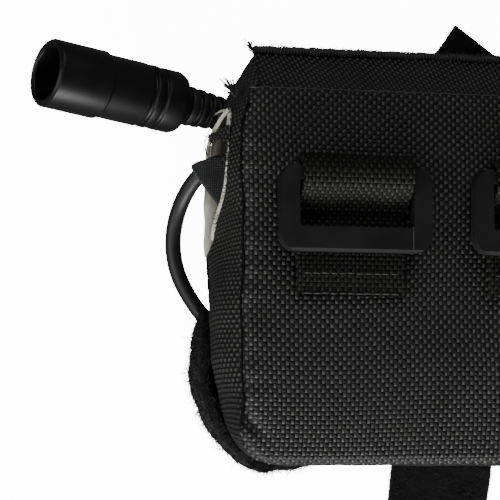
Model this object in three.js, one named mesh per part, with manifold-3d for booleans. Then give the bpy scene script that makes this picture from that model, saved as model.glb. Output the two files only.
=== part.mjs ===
// Battery pack in a strapped nylon pouch, lying on its back.
// Millimetres, Z up. X runs across the pouch, Y towards its flap. The dimensions take Z = 0 at the flat of
// the back panel, and the finished part is lifted so that it rests on Z = 0.
import * as THREE from 'three';
import Module from 'manifold-3d';
import { mergeVertices } from 'three/addons/utils/BufferGeometryUtils.js';

const wasm = await Module();
wasm.setup();

// Pouch
const HALF_WIDTH = 38.5;
const BOTTOM_Y = -34;
const HEM_Y = 33.6;
const FRONT_Z = 27;
const WALL = 1;
const EDGE_ROLL = 2.5;
const FRONT_CORNER = 6;
const BACK_CORNER = 13;
const HEAD_Y = 20;
const RIDGE_Y = 42.2;
const RIDGE_Z = 12.4;
const RIDGE_HALF = 31.8;
const SEAM = 0.3;
const SURFACE_Z = -3.6;

// Flap: its line runs from the free edge to the ridge
const FLAP_EDGE = [33.3, 25.3];
const FLAP_ROOT = [41.4, 13.6];
const FLAP_THICK = 1;

// Slit in the left gusset, open at the back edge
const SLIT_Y = 16.6;
const SLIT_Z = 7;
const SLIT_HALF_LENGTH = 10.5;
const SLIT_HALF_HEIGHT = 8.5;

// Webbing, buckles and straps
const WEBBING = 20;
const WEBBING_THICK = 1.4;
const BUCKLE_X = 18.3;
const BUCKLE_WIDTH = 28.3;
const BUCKLE_Y0 = 3.8;
const BUCKLE_Y1 = 19.3;
const BUCKLE_THICK = 2.8;
const BUCKLE_Z = 29.3;
const POST = 3.45;
const BOTTOM_BAR = 4.4;
const TOP_BAR = 2.8;
const STRAP_THICK = 1.5;

// Cells
const CELL_RADIUS = 9.2;
const CELL_LENGTH = 65;
const CELL_PITCH = 18.6;
const CELL_Y = -0.4;
const CELL_Z = 14;
const CELL_X = 1;

// Lead
const CABLE_DIAMETER = 3;
const CABLE_POINTS = [
  [-35.6, 21.6, 8.2], [-38.4, 21.4, 8.1], [-41.2, 18.9, 5.2], [-43.2, 13.9, 0.6], [-43.9, 8.2, -1.7],
  [-43.2, 2.6, -2.0], [-40.9, -2.4, -2.0], [-37.4, -6.8, -2.0], [-32.6, -9.6, -2.0], [-27.2, -9.7, -2.0],
  [-22.3, -7.2, -2.0], [-19.3, -2.6, -2.0], [-18.2, 2.8, -2.0], [-18.0, 8.6, -2.0], [-18.0, 14.4, -2.0],
  [-18.3, 20.2, -2.0], [-19.5, 25.0, -2.0], [-22.2, 28.5, -1.95], [-25.7, 30.4, -1.85], [-29.5, 31.0, -1.3],
  [-32.4, 31.4, -0.45], [-35.2, 31.85, 0.35],
];
const CONNECTOR_MOUTH = [-70.9, 36.95, 10.8];
const CONNECTOR_TAIL = [-34.6, 31.75, 0.15];

const COLOURS = {
  fabric: ['#232322', 0.92, 0],
  webbing: ['#262623', 0.9, 0],
  pile: ['#1b1b1c', 0.97, 0],
  lining: ['#b9b4a6', 0.7, 0],
  acetal: ['#18191a', 0.5, 0],
  rubber: ['#141415', 0.62, 0],
  moulded: ['#151516', 0.55, 0],
  can: ['#b8b8b2', 0.36, 1],
  nickel: ['#b8b8b2', 0.32, 1],
  brass: ['#c9b27a', 0.28, 1],
  wrap: ['#2f6f8f', 0.45, 0],
  sleeve: ['#1d3f7a', 0.38, 0],
  paper: ['#d8d2bf', 0.85, 0],
  board: ['#1c5a35', 0.55, 0],
  chip: ['#101011', 0.5, 0],
  foam: ['#2d2d30', 0.98, 0],
  red: ['#a01f1c', 0.5, 0],
  black: ['#151515', 0.5, 0],
};

function material(kind) {
  const [color, roughness, metalness] = COLOURS[kind];
  return new THREE.MeshStandardMaterial({ color, roughness, metalness });
}

// Booleans
function toManifold(geometry) {
  const plain = geometry.clone();
  plain.deleteAttribute('normal');
  plain.deleteAttribute('uv');
  const merged = mergeVertices(plain, 1e-5);
  return new wasm.Manifold(new wasm.Mesh({
    numProp: 3,
    vertProperties: new Float32Array(merged.attributes.position.array),
    triVerts: new Uint32Array(merged.index.array),
  }));
}

function toGeometry(solid) {
  const mesh = solid.getMesh();
  const geometry = new THREE.BufferGeometry();
  geometry.setAttribute('position', new THREE.BufferAttribute(new Float32Array(mesh.vertProperties), 3));
  geometry.setIndex(new THREE.BufferAttribute(new Uint32Array(mesh.triVerts), 1));
  return geometry;
}

// Shapes
function outline(points) {
  return new THREE.Shape(points.map(([x, y]) => new THREE.Vector2(x, y)));
}

function prismZ(points, z0, z1) {
  const geometry = new THREE.ExtrudeGeometry(outline(points), { depth: z1 - z0, bevelEnabled: false });
  return geometry.translate(0, 0, z0);
}

function prismX(points, x0, x1) {
  const geometry = new THREE.ExtrudeGeometry(outline(points), { depth: x1 - x0, bevelEnabled: false });
  const turn = new THREE.Matrix4().set(0, 0, 1, x0, 1, 0, 0, 0, 0, 1, 0, 0, 0, 0, 0, 1);
  return geometry.applyMatrix4(turn);
}

function prismY(points, y0, y1) {
  const geometry = new THREE.ExtrudeGeometry(outline(points), { depth: y1 - y0, bevelEnabled: false });
  const turn = new THREE.Matrix4().set(1, 0, 0, 0, 0, 0, -1, y1, 0, 1, 0, 0, 0, 0, 0, 1);
  return geometry.applyMatrix4(turn);
}

function rectangle(x0, y0, x1, y1) {
  return [[x0, y0], [x1, y0], [x1, y1], [x0, y1]];
}

function roundedRectangle(x0, y0, x1, y1, radius, steps = 4) {
  const corners = [[x1 - radius, y0 + radius, -90], [x1 - radius, y1 - radius, 0],
    [x0 + radius, y1 - radius, 90], [x0 + radius, y0 + radius, 180]];
  const points = [];
  for (const [cx, cy, start] of corners) {
    for (let i = 0; i <= steps; i += 1) {
      const angle = THREE.MathUtils.degToRad(start + 90 * i / steps);
      points.push([cx + radius * Math.cos(angle), cy + radius * Math.sin(angle)]);
    }
  }
  return points;
}

function ellipse(cx, cy, a, b, steps) {
  const points = [];
  for (let i = 0; i < steps; i += 1) {
    const angle = 2 * Math.PI * i / steps;
    points.push([cx + a * Math.cos(angle), cy + b * Math.sin(angle)]);
  }
  return points;
}

function block(x0, y0, z0, x1, y1, z1) {
  return prismZ(rectangle(x0, y0, x1, y1), z0, z1);
}

// A strip of even thickness that follows a path in its plane.
function stripOutline(path, thick) {
  const left = [];
  const right = [];
  for (let i = 0; i < path.length; i += 1) {
    const before = path[Math.max(i - 1, 0)];
    const after = path[Math.min(i + 1, path.length - 1)];
    const length = Math.hypot(after[0] - before[0], after[1] - before[1]);
    const nx = -(after[1] - before[1]) / length * thick / 2;
    const ny = (after[0] - before[0]) / length * thick / 2;
    left.push([path[i][0] + nx, path[i][1] + ny]);
    right.push([path[i][0] - nx, path[i][1] - ny]);
  }
  return right.concat(left.reverse());
}

function loft(rings) {
  const count = rings[0].length;
  const positions = rings.flat(2);
  const index = [];
  for (let r = 0; r + 1 < rings.length; r += 1) {
    for (let i = 0; i < count; i += 1) {
      const a = r * count + i;
      const b = r * count + (i + 1) % count;
      index.push(a, b, b + count, a, b + count, a + count);
    }
  }
  const last = (rings.length - 1) * count;
  for (let i = 1; i + 1 < count; i += 1) {
    index.push(0, i + 1, i);
    index.push(last, last + i, last + i + 1);
  }
  const geometry = new THREE.BufferGeometry();
  geometry.setAttribute('position', new THREE.Float32BufferAttribute(positions, 3));
  geometry.setIndex(index);
  return geometry;
}

// Pouch body
function inset(radius, t) {
  return t < radius ? radius - Math.sqrt(radius ** 2 - (radius - t) ** 2) : 0;
}

function headShare(y) {
  return THREE.MathUtils.clamp((y - HEAD_Y) / (RIDGE_Y - HEAD_Y), 0, 1.2);
}

function backHeight(y) {
  return 11.3 * headShare(y) ** 1.6;
}

function halfWidth(y) {
  const share = THREE.MathUtils.clamp((y - 26) / (RIDGE_Y - 26), 0, 1.2);
  return HALF_WIDTH - (HALF_WIDTH - RIDGE_HALF) * share ** 1.3;
}

// One section across the pouch, its back corners rounder than its front ones at the lower end.
function pouchRing(y, offset) {
  const t = y - BOTTOM_Y - offset;
  const corner = EDGE_ROLL - offset * 0.5;
  const roll = inset(corner, t);
  const z0 = backHeight(y) + offset + roll;
  const z1 = FRONT_Z - offset - roll;
  const backHalf = halfWidth(y) - offset - inset(BACK_CORNER - offset, t);
  const frontHalf = halfWidth(y) - offset - inset(FRONT_CORNER - offset, t);
  const ring = [];
  for (const [right, top, start] of [[1, 0, -90], [1, 1, 0], [-1, 1, 90], [-1, 0, 180]]) {
    for (let i = 0; i <= 4; i += 1) {
      const angle = THREE.MathUtils.degToRad(start + 90 * i / 4);
      const z = (top ? z1 - corner : z0 + corner) + corner * Math.sin(angle);
      const half = backHalf + (frontHalf - backHalf) * (z - z0) / (z1 - z0);
      ring.push([right * (half - corner) + corner * Math.cos(angle), y, z]);
    }
  }
  return ring.reverse();
}

function pouchSolid(offset) {
  const starts = [0.01, 0.35, 1, 2.2, 4.2, 7.2, 10.6, 14];
  const ys = starts.map((t) => BOTTOM_Y + offset + t).concat([-8, 8, 20, 23, 26, 29, 32, 35, 38, 41, 44]);
  return toManifold(loft(ys.map((y) => pouchRing(y, offset))));
}

const SHELL = pouchSolid(0).subtract(pouchSolid(WALL));

function shellPart(side, plan) {
  const slab = toManifold(prismX(side, -60, 60));
  return SHELL.intersect(slab).intersect(toManifold(prismZ(plan, -20, 60)));
}

function frontPanel() {
  const side = rectangle(-50, FRONT_Z - 2.2, HEM_Y, 50);
  return shellPart(side, rectangle(-60, -60, 60, 60));
}

function backPanel() {
  const side = [[-50, -10], [40.7, -10], [40.7, 13.2], [36, 10.2], [30, 6.2], [HEAD_Y, 2.2], [-50, 2.2]];
  return shellPart(side, rectangle(-60, -60, 60, 60)).subtract(slitCutter(0, -45, -34));
}

const GUSSET_SIDE = [[-50, 2.5], [HEAD_Y, 2.5], [30, 6.6], [36, 10.7], [39.6, 13.1],
  [32.3, 23.7], [31.6, FRONT_Z - 2.5], [-50, FRONT_Z - 2.5]];

function bottomPanel() {
  const plan = [[-58.5, -54], [58.5, -54], [28, -23.5], [-28, -23.5]];
  return shellPart(rectangle(-50, 2.5, 0, FRONT_Z - 2.5), plan);
}

function gusset(side) {
  const plan = [[80, -54], [58.92, -54], [28.42, -23.5], [20, -23.5], [20, 60], [80, 60]];
  return shellPart(GUSSET_SIDE, plan.map(([x, y]) => [x * side, y]));
}

function slitCutter(shrink, x0, x1) {
  const a = SLIT_HALF_LENGTH - shrink;
  const b = SLIT_HALF_HEIGHT - shrink;
  return toManifold(prismX(ellipse(SLIT_Y, SLIT_Z, a, b, 28), x0, x1));
}

function leftGusset() {
  return gusset(-1).subtract(slitCutter(0, -45, -34));
}

function slitLining() {
  const sheet = prismX(roundedRectangle(3.6, 4.2, 28.4, 19.5, 3), -36.75, -36.15);
  return toManifold(sheet).subtract(slitCutter(1.1, -45, -34));
}

function backLiner() {
  const sheet = prismZ(roundedRectangle(-36, -30, 36, 19, 11), WALL + 0.3, WALL + 0.8);
  return toManifold(sheet).subtract(slitCutter(0, -45, -34));
}

// Head of the pouch
function flapPoint(along, depth) {
  const length = Math.hypot(FLAP_ROOT[0] - FLAP_EDGE[0], FLAP_ROOT[1] - FLAP_EDGE[1]);
  const dy = (FLAP_ROOT[0] - FLAP_EDGE[0]) / length;
  const dz = (FLAP_ROOT[1] - FLAP_EDGE[1]) / length;
  return [FLAP_EDGE[0] + dy * along + dz * depth, FLAP_EDGE[1] + dz * along - dy * depth];
}

function flapSheet(along0, along1, depth0, depth1, half0, half1) {
  const path = [[along0, depth0], [along0, depth1], [along1, depth1], [along1, depth0]];
  const solid = toManifold(prismX(path.map(([a, d]) => flapPoint(a, d)), -60, 60));
  const y0 = flapPoint(along0, (depth0 + depth1) / 2)[0];
  const y1 = flapPoint(along1, (depth0 + depth1) / 2)[0];
  const slope = (half1 - half0) / (y1 - y0);
  const low = half0 - slope * 8;
  const high = half1 + slope * 8;
  const plan = [[-low, y0 - 8], [low, y0 - 8], [high, y1 + 8], [-high, y1 + 8]];
  return solid.intersect(toManifold(prismZ(plan, -20, 60)));
}

function topFlap() {
  return flapSheet(0, 14, 0, FLAP_THICK, 34.5, 31.2);
}

function hookTape() {
  return flapSheet(1.6, 9.2, 1.15, 2.05, 29, 27);
}

function loopTape() {
  return flapSheet(1.6, 9.2, 2.35, 3.25, 29, 27);
}

function frontLip() {
  return flapSheet(-2.2, 10, 3.4, 4.2, 33, 30);
}

function ridgeBinding() {
  const profile = ellipse(RIDGE_Y, RIDGE_Z, 1.15, 1.15, 12);
  return prismX(profile, -RIDGE_HALF, RIDGE_HALF);
}

// Webbing keeper on the front: flat base, loop over the buckle's top bar, sewn end
function frontKeeper(x) {
  const base = FRONT_Z + SEAM + WEBBING_THICK / 2;
  const barZ = BUCKLE_Z + BUCKLE_THICK / 2;
  const barY = BUCKLE_Y1 - TOP_BAR / 2;
  const radius = barZ - base;
  const path = [[-3.9, base], [3, base], [10, base], [barY - 1, base]];
  for (let i = 0; i <= 8; i += 1) {
    const angle = THREE.MathUtils.degToRad(-90 + 185 * i / 8);
    path.push([barY + radius * Math.cos(angle), barZ + radius * Math.sin(angle)]);
  }
  path.push([barY - 2.2, barZ + radius * 0.9]);
  path.push([12.9, base + 2.3]);
  path.push([11.2, base + WEBBING_THICK + SEAM]);
  path.push([9.6, base + WEBBING_THICK + SEAM]);
  return prismX(stripOutline(path, WEBBING_THICK), x - WEBBING / 2, x + WEBBING / 2);
}

// A cutter that takes a 45 degree corner off a bar along X
function cornerCut(y, z, dy, dz, size, x0, x1) {
  const corner = [[y - dy * size, z + dz * 0.4], [y + dy * 0.4, z + dz * 0.4], [y + dy * 0.4, z - dz * size]];
  return toManifold(prismX(corner, x0, x1));
}

function buckle(x) {
  const x0 = x - BUCKLE_WIDTH / 2;
  const x1 = x + BUCKLE_WIDTH / 2;
  const z1 = BUCKLE_Z + BUCKLE_THICK;
  const frame = toManifold(prismZ(roundedRectangle(x0, BUCKLE_Y0, x1, BUCKLE_Y1, 3), BUCKLE_Z, z1));
  const window = roundedRectangle(x0 + POST, BUCKLE_Y0 + BOTTOM_BAR, x1 - POST, BUCKLE_Y1 - TOP_BAR, 0.5);
  const barY = BUCKLE_Y1 - TOP_BAR / 2;
  const barZ = BUCKLE_Z + BUCKLE_THICK / 2;
  const inner = x0 + POST;
  const outer = x1 - POST;
  let body = frame.subtract(toManifold(prismZ(window, 0, 60)));
  body = body.subtract(cornerCut(BUCKLE_Y0, z1, -1, 1, 0.9, x0 - 1, x1 + 1));
  for (const dy of [-1, 1]) {
    for (const dz of [-1, 1]) {
      const y = barY + dy * TOP_BAR / 2;
      const z = barZ + dz * BUCKLE_THICK / 2;
      body = body.subtract(cornerCut(y, z, dy, dz, 0.8, inner, outer));
    }
  }
  return body;
}

function stitches(x) {
  const z = FRONT_Z + SEAM + WEBBING_THICK + 0.05;
  return block(x - 8.6, -2.9, z, x + 8.6, -2.3, z + 0.35);
}

// Straps and what holds them to the back
function backKeeper(y, width) {
  const low = SURFACE_Z + 1.05;
  const outer = [[-12, -1.35], [-4.6, -1.35], [-2.1, SURFACE_Z], [25.9, SURFACE_Z], [28.4, -1.35], [33, -1.35]];
  const inner = [[33, -0.3], [28, -0.3], [25.5, low], [-1.7, low], [-4.2, -0.3], [-12, -0.3]];
  return prismY(outer.concat(inner), y - width / 2, y + width / 2);
}

function leftStrap() {
  const path = [[-39.9, -8.6], [-40.2, -13], [-40.1, -18.4], [-39.5, -24], [-38, -29], [-34.8, -33.4],
    [-29.6, -35.9], [-22, -36.3], [-15.4, -35.6]];
  const low = SURFACE_Z + 0.1;
  const upright = toManifold(prismZ(stripOutline(path, 2), low, low + 11));
  const inner = [[-15.4, -27], [-24, -27], [-30, -22.6], [-31.4, -13.4]];
  const underside = path.slice(1).concat(inner);
  return upright.add(toManifold(prismZ(underside, low, low + 1.4)));
}

function leftStrapAnchor() {
  return block(-26, -31, -1.8, -14.6, -14, -0.3);
}

function rightStrap() {
  const path = [[-72, SURFACE_Z + 0.85], [-44, SURFACE_Z + 0.85], [-37, -1.9], [-33, -1.1], [34, -1.1]];
  const run = prismX(stripOutline(path, STRAP_THICK), -WEBBING / 2, WEBBING / 2);
  run.rotateZ(THREE.MathUtils.degToRad(-4.6));
  return run.translate(12.1, 0, 0);
}

function rightStrapEnd() {
  const piece = prismZ(roundedRectangle(0, -26, WEBBING, 0, 1.2), SURFACE_Z + 0.1, -2.15);
  piece.rotateZ(THREE.MathUtils.degToRad(-33));
  return piece.translate(10.3, 49.9, 0);
}

function slitTab() {
  const points = [[-43.3, 20.9], [-42.2, 18.2], [-38.8, 12.9], [-35.6, 13.4], [-35.6, 21.2], [-38.6, 21.8]];
  return prismZ(points, 11.2, 12.7);
}

// Cells and pack
function cellY(index) {
  return CELL_Y + (index - 1) * CELL_PITCH;
}

function turnToX(geometry) {
  return geometry.applyMatrix4(new THREE.Matrix4().set(0, 1, 0, 0, 1, 0, 0, 0, 0, 0, -1, 0, 0, 0, 0, 1));
}

function latheX(profile, x, y, z, segments) {
  const points = profile.map(([r, t]) => new THREE.Vector2(r, t));
  return turnToX(new THREE.LatheGeometry(points, segments)).translate(x, y, z);
}

function flip(geometry) {
  const solid = geometry.clone();
  const index = solid.index.array;
  for (let i = 0; i < index.length; i += 3) {
    const keep = index[i];
    index[i] = index[i + 1];
    index[i + 1] = keep;
  }
  return solid;
}

function cell(index) {
  const half = CELL_LENGTH / 2;
  const end = index % 2 === 0 ? 1 : -1;
  const profile = [[0, -half], [8.3, -half], [8.9, -half + 0.5], [8.9, half - 3.4], [8.4, half - 2.9],
    [8.4, half - 2.5], [8.9, half - 2], [8.9, half - 1], [8.3, half - 0.7], [3.2, half - 0.7],
    [2.9, half], [0, half]];
  const shaped = end > 0 ? profile : profile.map(([r, t]) => [r, -t]).reverse();
  return latheX(shaped, CELL_X, cellY(index), CELL_Z, 24);
}

function cellWrap(index) {
  const half = CELL_LENGTH / 2 - 4;
  const profile = [[9.02, -half], [CELL_RADIUS, -half], [CELL_RADIUS, half], [9.02, half], [9.02, -half]];
  return latheX(profile, CELL_X, cellY(index), CELL_Z, 24);
}

function nickelStrip(x0, first, second) {
  const y0 = cellY(first) - 3;
  const y1 = cellY(second) + 3;
  return prismX(roundedRectangle(y0, CELL_Z - 3, y1, CELL_Z + 3, 1, 2), x0, x0 + 0.25);
}

function endInsulator(x0) {
  const points = roundedRectangle(cellY(0) - 9, CELL_Z - 9, cellY(2) + 9, CELL_Z + 9, 8.6);
  return prismX(points, x0, x0 + 0.4);
}

function shrinkSleeve() {
  const y0 = cellY(0) - CELL_RADIUS - 0.6;
  const y1 = cellY(2) + CELL_RADIUS + 0.6;
  const low = CELL_Z - CELL_RADIUS - 0.6;
  const high = CELL_Z + CELL_RADIUS + 0.6;
  const body = toManifold(prismX(roundedRectangle(y0, low, y1, high, 9.7, 6), -35.4, 34.8));
  const bore = roundedRectangle(y0 + 0.4, low + 0.4, y1 - 0.4, high - 0.4, 9.3, 6);
  return body.subtract(toManifold(prismX(bore, -40, 40)));
}

function foamPad(z0, z1) {
  return prismZ(roundedRectangle(-30, cellY(0) - 5, 31, cellY(2) + 5, 3), z0, z1);
}

function board() {
  return prismX(roundedRectangle(-24, CELL_Z - 6.5, 20, CELL_Z + 6.5, 1, 2), -33.6, -32.6);
}

function chip(y, size) {
  return block(-34.6, y - size / 2, CELL_Z - size / 3, -33.75, y + size / 2, CELL_Z + size / 3);
}

function coverSheet() {
  const points = roundedRectangle(cellY(0) - 8.6, CELL_Z - 8.6, cellY(2) + 8.6, CELL_Z + 8.6, 8.2);
  return prismX(points, -35.2, -34.85);
}

// Tubes
function tube(points, diameter, sides, steps) {
  const curve = new THREE.CatmullRomCurve3(points.map((p) => new THREE.Vector3(...p)), false, 'centripetal');
  const circle = outline(ellipse(0, 0, diameter / 2, diameter / 2, sides));
  return new THREE.ExtrudeGeometry(circle, { steps, extrudePath: curve, bevelEnabled: false });
}

function wire(y) {
  return tube([[-31.3, y, CELL_Z + 7.2], [-20, y, CELL_Z + 7.6], [10, y, CELL_Z + 7.6], [33.3, y, CELL_Z + 7.2]],
    1.5, 8, 8);
}

function leadCable() {
  return tube(CABLE_POINTS, CABLE_DIAMETER, 8, 60);
}

function leadGrommet() {
  const profile = [[1.9, 0], [2.3, 0], [2.3, 0.8], [2.6, 0.8], [2.6, 2], [1.9, 2], [1.9, 0]];
  return latheX(profile, -37.5, 21.6, 8.2, 16);
}

// Connector, lathed from its mouth backwards
function connectorPart(profile, segments) {
  const geometry = new THREE.LatheGeometry(profile.map(([r, t]) => new THREE.Vector2(r, t)), segments);
  const mouth = new THREE.Vector3(...CONNECTOR_MOUTH);
  const back = new THREE.Vector3(...CONNECTOR_TAIL).sub(mouth).normalize();
  const side = new THREE.Vector3(0, 0, 1).cross(back).normalize();
  const basis = new THREE.Matrix4().makeBasis(side, back, new THREE.Vector3().crossVectors(side, back));
  return geometry.applyMatrix4(basis).translate(...CONNECTOR_MOUTH);
}

function connectorBody() {
  const profile = [[0, 12], [5, 12], [5, 0.4], [5.4, 0], [5.9, 0], [6.35, 0.5], [6.35, 11], [5.9, 11.35],
    [5.9, 19.6], [5.45, 19.9], [5.45, 20.5], [5.9, 20.8], [5.9, 22], [5.45, 22.3], [5.45, 22.9],
    [5.9, 23.2], [5.9, 26.8], [5.5, 27.6], [4.2, 28.2], [3.7, 29.2], [0, 29.2]];
  return connectorPart(profile.reverse(), 32);
}

function strainRelief() {
  const profile = [[1.75, 40.2], [1.75, 29.5], [3.7, 29.5], [3.7, 30.8]];
  for (let i = 0; i < 4; i += 1) {
    const t = 30.8 + i * 2.2;
    const r = 3.65 - i * 0.22;
    profile.push([r - 0.55, t + 0.2], [r - 0.55, t + 0.9], [r - 0.05, t + 1.1], [r - 0.12, t + 2.2]);
  }
  profile.push([2.5, 40.2], [1.75, 40.2]);
  return connectorPart(profile, 24);
}

function connectorInsert() {
  const profile = [[0, 11], [1.6, 11], [1.6, 8.6], [2.9, 8.6], [2.9, 8.4], [4.6, 8.4], [4.6, 11.7], [0, 11.7]];
  return connectorPart(profile, 24);
}

function connectorPin() {
  return connectorPart([[0, 5.9], [0.6, 6], [1, 6.6], [1, 10.7], [0, 10.7]], 16);
}

function connectorContact() {
  return connectorPart([[2.95, 8.1], [3.35, 8.1], [3.35, 5.8], [2.95, 5.8], [2.95, 8.1]], 20);
}

function sealRing() {
  const profile = ellipse(4.5, 7.4, 0.35, 0.35, 8);
  return connectorPart(profile.concat([profile[0]]), 24);
}

const PARTS = [
  ['front_panel', 'fabric', frontPanel()],
  ['back_panel', 'fabric', backPanel()],
  ['bottom_panel', 'fabric', bottomPanel()],
  ['gusset_left', 'fabric', leftGusset()],
  ['gusset_right', 'fabric', gusset(1)],
  ['slit_lining', 'lining', slitLining()],
  ['back_liner', 'lining', backLiner()],
  ['slit_tab', 'fabric', slitTab()],
  ['ridge_binding', 'fabric', ridgeBinding()],
  ['front_lip', 'fabric', frontLip()],
  ['loop_tape', 'pile', loopTape()],
  ['top_flap', 'fabric', topFlap()],
  ['hook_tape', 'pile', hookTape()],
  ['front_keeper_left', 'webbing', frontKeeper(-BUCKLE_X)],
  ['front_keeper_right', 'webbing', frontKeeper(BUCKLE_X)],
  ['keeper_stitch_left', 'black', stitches(-BUCKLE_X)],
  ['keeper_stitch_right', 'black', stitches(BUCKLE_X)],
  ['buckle_left', 'acetal', buckle(-BUCKLE_X)],
  ['buckle_right', 'acetal', buckle(BUCKLE_X)],
  ['back_keeper_lower', 'webbing', backKeeper(-20, 11)],
  ['back_keeper_upper', 'webbing', backKeeper(0, 11)],
  ['strap_left', 'pile', leftStrap()],
  ['strap_left_anchor', 'pile', leftStrapAnchor()],
  ['strap_right', 'pile', rightStrap()],
  ['strap_right_end', 'pile', rightStrapEnd()],
  ['cell_lower', 'can', cell(0)],
  ['cell_middle', 'can', cell(1)],
  ['cell_upper', 'can', cell(2)],
  ['cell_wrap_lower', 'wrap', cellWrap(0)],
  ['cell_wrap_middle', 'wrap', cellWrap(1)],
  ['cell_wrap_upper', 'wrap', cellWrap(2)],
  ['nickel_strip_left', 'nickel', nickelStrip(-31.9, 0, 1)],
  ['nickel_strip_right', 'nickel', nickelStrip(33.65, 1, 2)],
  ['end_insulator_left', 'paper', endInsulator(-32.4)],
  ['end_insulator_right', 'paper', endInsulator(34.1)],
  ['protection_board', 'board', board()],
  ['board_mosfet', 'chip', chip(-14, 5)],
  ['board_controller', 'chip', chip(2, 3.6)],
  ['board_cover', 'paper', coverSheet()],
  ['shrink_sleeve', 'sleeve', shrinkSleeve()],
  ['foam_back', 'foam', foamPad(2.1, 4)],
  ['foam_front', 'foam', foamPad(24, 25.7)],
  ['wire_positive', 'red', wire(cellY(0) + CELL_PITCH / 2)],
  ['wire_negative', 'black', wire(cellY(1) + CELL_PITCH / 2)],
  ['lead_grommet', 'rubber', leadGrommet()],
  ['lead_cable', 'rubber', leadCable()],
  ['strain_relief', 'rubber', strainRelief()],
  ['connector_body', 'moulded', connectorBody()],
  ['connector_insert', 'chip', connectorInsert()],
  ['connector_pin', 'brass', connectorPin()],
  ['connector_contact', 'nickel', connectorContact()],
  ['seal_ring', 'rubber', sealRing()],
];

function volume(geometry) {
  const p = geometry.attributes.position;
  const index = geometry.index ? geometry.index.array : [...Array(p.count).keys()];
  let total = 0;
  const [a, b, c] = [new THREE.Vector3(), new THREE.Vector3(), new THREE.Vector3()];
  for (let i = 0; i < index.length; i += 3) {
    a.fromBufferAttribute(p, index[i]);
    b.fromBufferAttribute(p, index[i + 1]);
    c.fromBufferAttribute(p, index[i + 2]);
    total += a.dot(b.cross(c)) / 6;
  }
  return total;
}

function addPart(group, [name, kind, solid]) {
  let geometry = solid.isBufferGeometry ? solid : toGeometry(solid);
  geometry = geometry.index ? geometry : mergeVertices(geometry.deleteAttribute('uv'));
  if (volume(geometry) < 0) geometry = flip(geometry);
  geometry.translate(0, 0, -SURFACE_Z);
  geometry.computeVertexNormals();
  const mesh = new THREE.Mesh(geometry, material(kind));
  mesh.name = name;
  group.add(mesh);
}

const pouch = new THREE.Group();
pouch.name = 'battery_pouch';
PARTS.forEach((part) => addPart(pouch, part));

export default pouch;
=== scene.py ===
"""Battery pack in a strapped nylon pouch, lying on its back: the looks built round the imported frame."""

from functools import partial
from math import ceil, cos, floor, inf, pi, radians, sin, tan

import bpy
import numpy as np
from mathutils import Matrix, Vector


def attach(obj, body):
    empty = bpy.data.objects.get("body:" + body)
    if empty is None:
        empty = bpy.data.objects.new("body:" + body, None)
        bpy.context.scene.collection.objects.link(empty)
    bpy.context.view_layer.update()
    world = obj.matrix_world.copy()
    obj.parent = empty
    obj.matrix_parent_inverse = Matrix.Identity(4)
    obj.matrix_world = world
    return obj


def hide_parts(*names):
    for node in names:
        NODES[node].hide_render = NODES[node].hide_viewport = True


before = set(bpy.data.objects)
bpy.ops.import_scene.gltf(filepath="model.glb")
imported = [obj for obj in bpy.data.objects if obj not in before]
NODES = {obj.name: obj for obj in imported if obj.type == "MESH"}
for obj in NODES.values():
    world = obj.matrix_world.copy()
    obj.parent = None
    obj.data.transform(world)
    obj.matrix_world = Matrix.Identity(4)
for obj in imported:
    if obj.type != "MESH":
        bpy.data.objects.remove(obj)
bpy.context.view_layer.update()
RNG = np.random.default_rng(11)

# Millimetres, as in the CAD source: z = 0 is the flat of the back panel, LIFT above the table
LIFT = 3.6
TO_METRES = 0.001
HALF_WIDTH = 38.5
BOTTOM_Y = -34.0
HEM_Y = 33.6
FRONT_Z = 27.0
RIDGE_Y = 42.2
RIDGE_Z = 12.4
RIDGE_HALF = 31.8
HEAD_Y = 20.0
BUCKLE_X = 18.3
YARN = 0.82


def to_frame(points):
    """Source millimetres to metres in the row frame."""
    return (np.asarray(points, float) + (0, 0, LIFT)) * TO_METRES


def xyz(x, y, z):
    """Points from coordinates that are numbers or arrays."""
    return np.stack(np.broadcast_arrays(x, y, z), -1)


def unit(value):
    return np.clip(value, 0, 1)


# Meshes
def place_object(name, data):
    piece = bpy.data.objects.new(name, data)
    bpy.context.scene.collection.objects.link(piece)
    return piece


def add_mesh(name, points, faces, look, body="pouch", node=None, yarn=None, smooth=True):
    """A mesh that rides on a body. faces is a list of arrays; look is a slot with its material."""
    slot, material = look
    mesh = bpy.data.meshes.new(name)
    corners = [face for group in faces for face in np.asarray(group).tolist()]
    mesh.from_pydata(to_frame(points).reshape(-1, 3).tolist(), [], corners)
    if yarn is not None:
        layer = mesh.attributes.new("yarn", "FLOAT_VECTOR", "POINT")
        layer.data.foreach_set("vector", np.asarray(yarn, np.float32).ravel())
    if smooth:
        mesh.polygons.foreach_set("use_smooth", np.ones(len(mesh.polygons), bool))
    mesh.update()
    mesh.materials.append(material)
    piece = place_object(name, mesh)
    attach(piece, body)
    if node:
        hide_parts(node)
    return piece


def quads_of(index):
    """Quads of a grid of point numbers."""
    return np.stack([index[:-1, :-1], index[:-1, 1:], index[1:, 1:], index[1:, :-1]], -1).reshape(-1, 4)


def grid_faces(rows, columns, keep=None):
    """Quads of a grid of points, without those that keep leaves out, and the points used."""
    quads = quads_of(np.arange(rows * columns).reshape(rows, columns))
    if keep is not None:
        quads = quads[keep.reshape(-1)]
    used = np.unique(quads)
    renumber = np.zeros(rows * columns, int)
    renumber[used] = np.arange(len(used))
    return renumber[quads], used


def ring_faces(rings, size):
    """Quads between closed rings of that many points, one ring after the other."""
    n = np.arange(size)
    m = (n + 1) % size
    start = np.arange(rings - 1)[:, None] * size
    return np.stack([start + n, start + m, start + size + m, start + size + n], -1).reshape(-1, 4)


def directions(vectors):
    """The vectors at length 1."""
    return vectors / np.maximum(np.linalg.norm(vectors, axis=-1, keepdims=True), 1e-9)


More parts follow.
